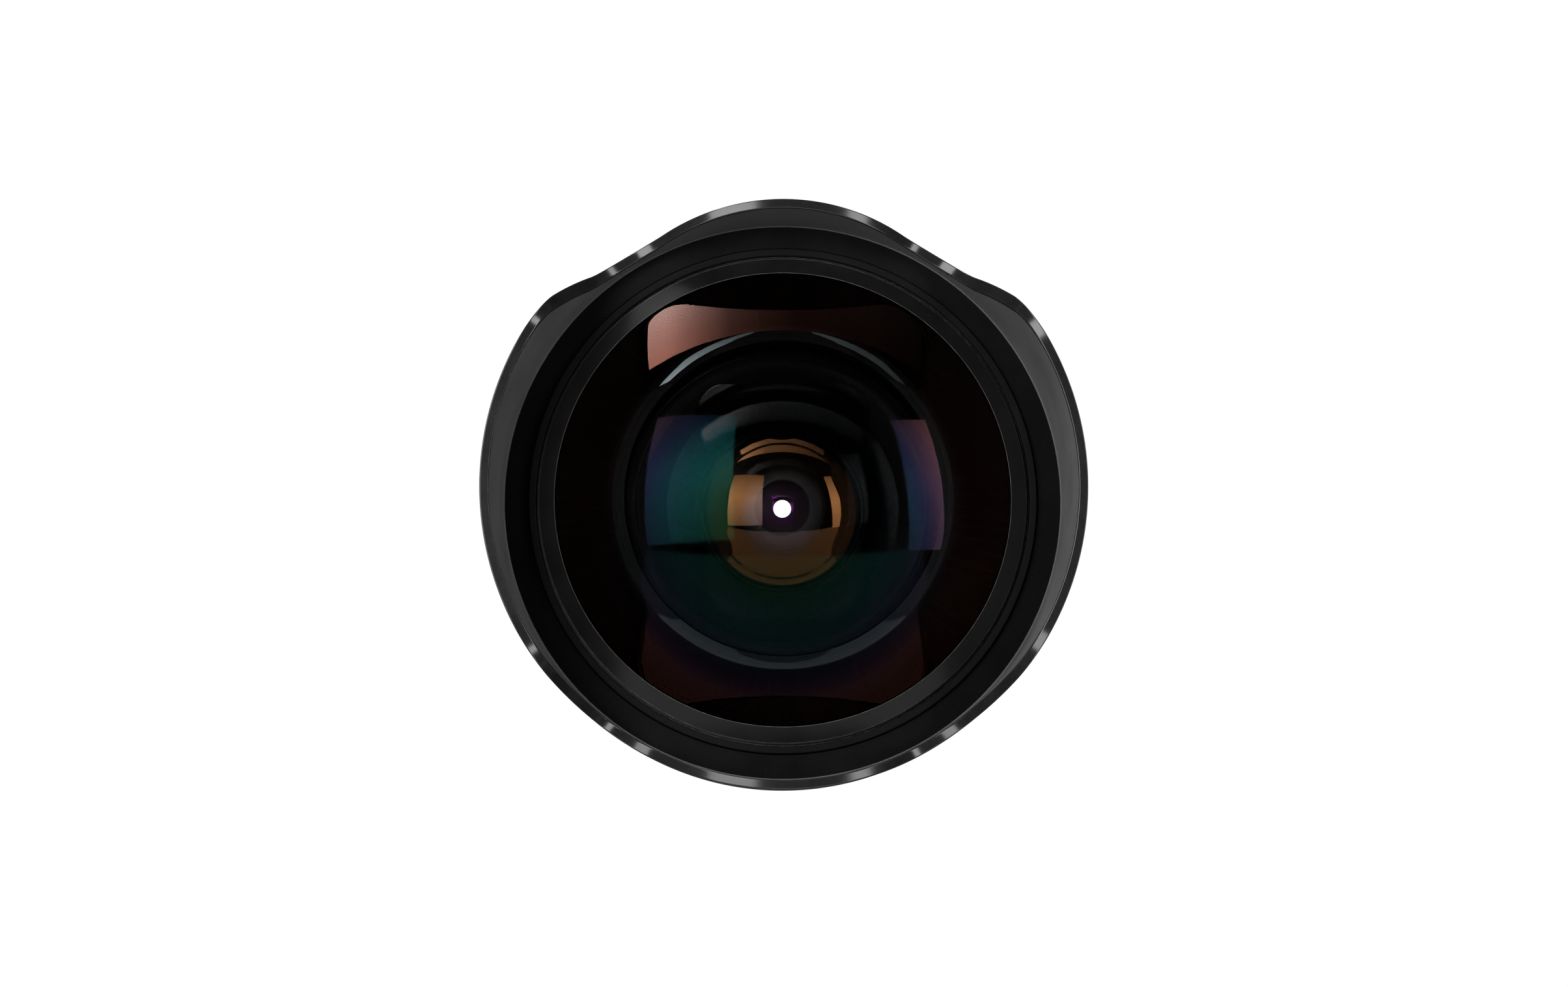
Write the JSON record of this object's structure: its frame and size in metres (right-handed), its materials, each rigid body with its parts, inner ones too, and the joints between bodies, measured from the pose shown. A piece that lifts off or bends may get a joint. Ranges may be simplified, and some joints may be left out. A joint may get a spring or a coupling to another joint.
{
  "type": "fisheye lens",
  "caption": "Wide fisheye camera lens with a domed front glass, a fixed petal hood, ribbed focus and aperture rings, an iris, inner glass elements and a bayonet mount.",
  "frame": {"origin": "on the optical axis, at the rear rim of the bayonet, on which the lens stands", "axes": "+Z points along the optical axis to the subject, +X runs through a long hood petal and the index bead, and +Y is up in the picture"},
  "size_m": [0.077, 0.0766, 0.0875],
  "materials": {
    "black_aluminium": "satin black anodised",
    "hood_black": "satin black anodised outside, matte inside",
    "matte_black": "matte black",
    "grip_rubber": "matte",
    "mount_metal": "satin",
    "steel": "satin",
    "blade_steel": "satin black",
    "brass": "satin",
    "white_dot": "gloss",
    "black_plastic": "matte",
    "coated_glass": "polished, coated"
  },
  "bodies": {
    "fixed_barrel": {"mount_ring": "mount_metal", "mount_screws": "steel", "rear_baffle": "black_plastic", "rear_barrel": "black_aluminium", "scale_ring": "black_aluminium", "index_bead": "white_dot", "focus_retainer": "brass", "focus_key": "brass", "focus_stop_pin": "steel", "click_ball": "steel", "click_leaf": "steel"},
    "focus_ring": {"focus_ring": "black_aluminium", "focus_grip": "grip_rubber", "helicoid_ring": "brass"},
    "aperture_ring": {"aperture_ring": "black_aluminium", "iris_drive_bar": "steel"},
    "lens_block": {"lens_barrel": "black_aluminium", "front_barrel": "black_aluminium", "petal_hood": "hood_black", "front_cell": "matte_black", "glass_retaining_ring": "matte_black", "front_element": "coated_glass", "second_cell": "matte_black", "second_element": "coated_glass", "second_retaining_ring": "matte_black", "inner_cell": "matte_black", "third_element": "coated_glass", "third_retaining_ring": "matte_black", "stop_spacer": "matte_black", "fourth_element": "coated_glass", "iris_base_plate": "blade_steel", "iris_housing": "matte_black", "rear_cell": "matte_black", "pair_a_front": "coated_glass", "pair_a_back": "coated_glass", "pair_spacer": "matte_black", "pair_b_front": "coated_glass", "pair_b_back": "coated_glass", "rear_retaining_ring": "matte_black"},
    "iris_ring": {"iris_cam_ring": "brass"},
    "blade_1": {"iris_blade_1": "blade_steel"},
    "blade_2": {"iris_blade_2": "blade_steel"},
    "blade_3": {"iris_blade_3": "blade_steel"},
    "blade_4": {"iris_blade_4": "blade_steel"},
    "blade_5": {"iris_blade_5": "blade_steel"},
    "blade_6": {"iris_blade_6": "blade_steel"}
  },
  "joints": [
    {"name": "focus_turn", "type": "hinge", "parent": "fixed_barrel", "child": "focus_ring", "pos_m": [0, 0, 0.046], "axis": [0, 0, 1], "range_deg": [0, 120]},
    {"name": "block_slide", "type": "slide", "parent": "fixed_barrel", "child": "lens_block", "axis": [0, 0, 1], "range_m": [0, 0.0015]},
    {"name": "aperture_turn", "type": "hinge", "parent": "fixed_barrel", "child": "aperture_ring", "pos_m": [0, 0, 0.015], "axis": [0, 0, 1], "range_deg": [0, 48]},
    {"name": "iris_ring_turn", "type": "hinge", "parent": "lens_block", "child": "iris_ring", "pos_m": [0, 0, 0.043], "axis": [0, 0, 1], "range_deg": [0, 48]},
    {"name": "blade_1_turn", "type": "hinge", "parent": "lens_block", "child": "blade_1", "pos_m": [0.0072, 0, 0.0445], "axis": [0, 0, 1], "range_deg": [0, 18]},
    {"name": "blade_2_turn", "type": "hinge", "parent": "lens_block", "child": "blade_2", "pos_m": [0.0036, 0.00624, 0.0445], "axis": [0, 0, 1], "range_deg": [0, 18]},
    {"name": "blade_3_turn", "type": "hinge", "parent": "lens_block", "child": "blade_3", "pos_m": [-0.0036, 0.00624, 0.0445], "axis": [0, 0, 1], "range_deg": [0, 18]},
    {"name": "blade_4_turn", "type": "hinge", "parent": "lens_block", "child": "blade_4", "pos_m": [-0.0072, 0, 0.0445], "axis": [0, 0, 1], "range_deg": [0, 18]},
    {"name": "blade_5_turn", "type": "hinge", "parent": "lens_block", "child": "blade_5", "pos_m": [-0.0036, -0.00624, 0.0445], "axis": [0, 0, 1], "range_deg": [0, 18]},
    {"name": "blade_6_turn", "type": "hinge", "parent": "lens_block", "child": "blade_6", "pos_m": [0.0036, -0.00624, 0.0445], "axis": [0, 0, 1], "range_deg": [0, 18]}
  ],
  "couplings": [
    {"joint": "block_slide", "follows": "focus_turn", "m_per_rad": 0.000716},
    {"joint": "iris_ring_turn", "follows": "aperture_turn", "ratio": 1},
    {"joint": "blade_1_turn", "follows": "aperture_turn", "ratio": 0.37455},
    {"joint": "blade_2_turn", "follows": "aperture_turn", "ratio": 0.37455},
    {"joint": "blade_3_turn", "follows": "aperture_turn", "ratio": 0.37455},
    {"joint": "blade_4_turn", "follows": "aperture_turn", "ratio": 0.37455},
    {"joint": "blade_5_turn", "follows": "aperture_turn", "ratio": 0.37455},
    {"joint": "blade_6_turn", "follows": "aperture_turn", "ratio": 0.37455}
  ]
}
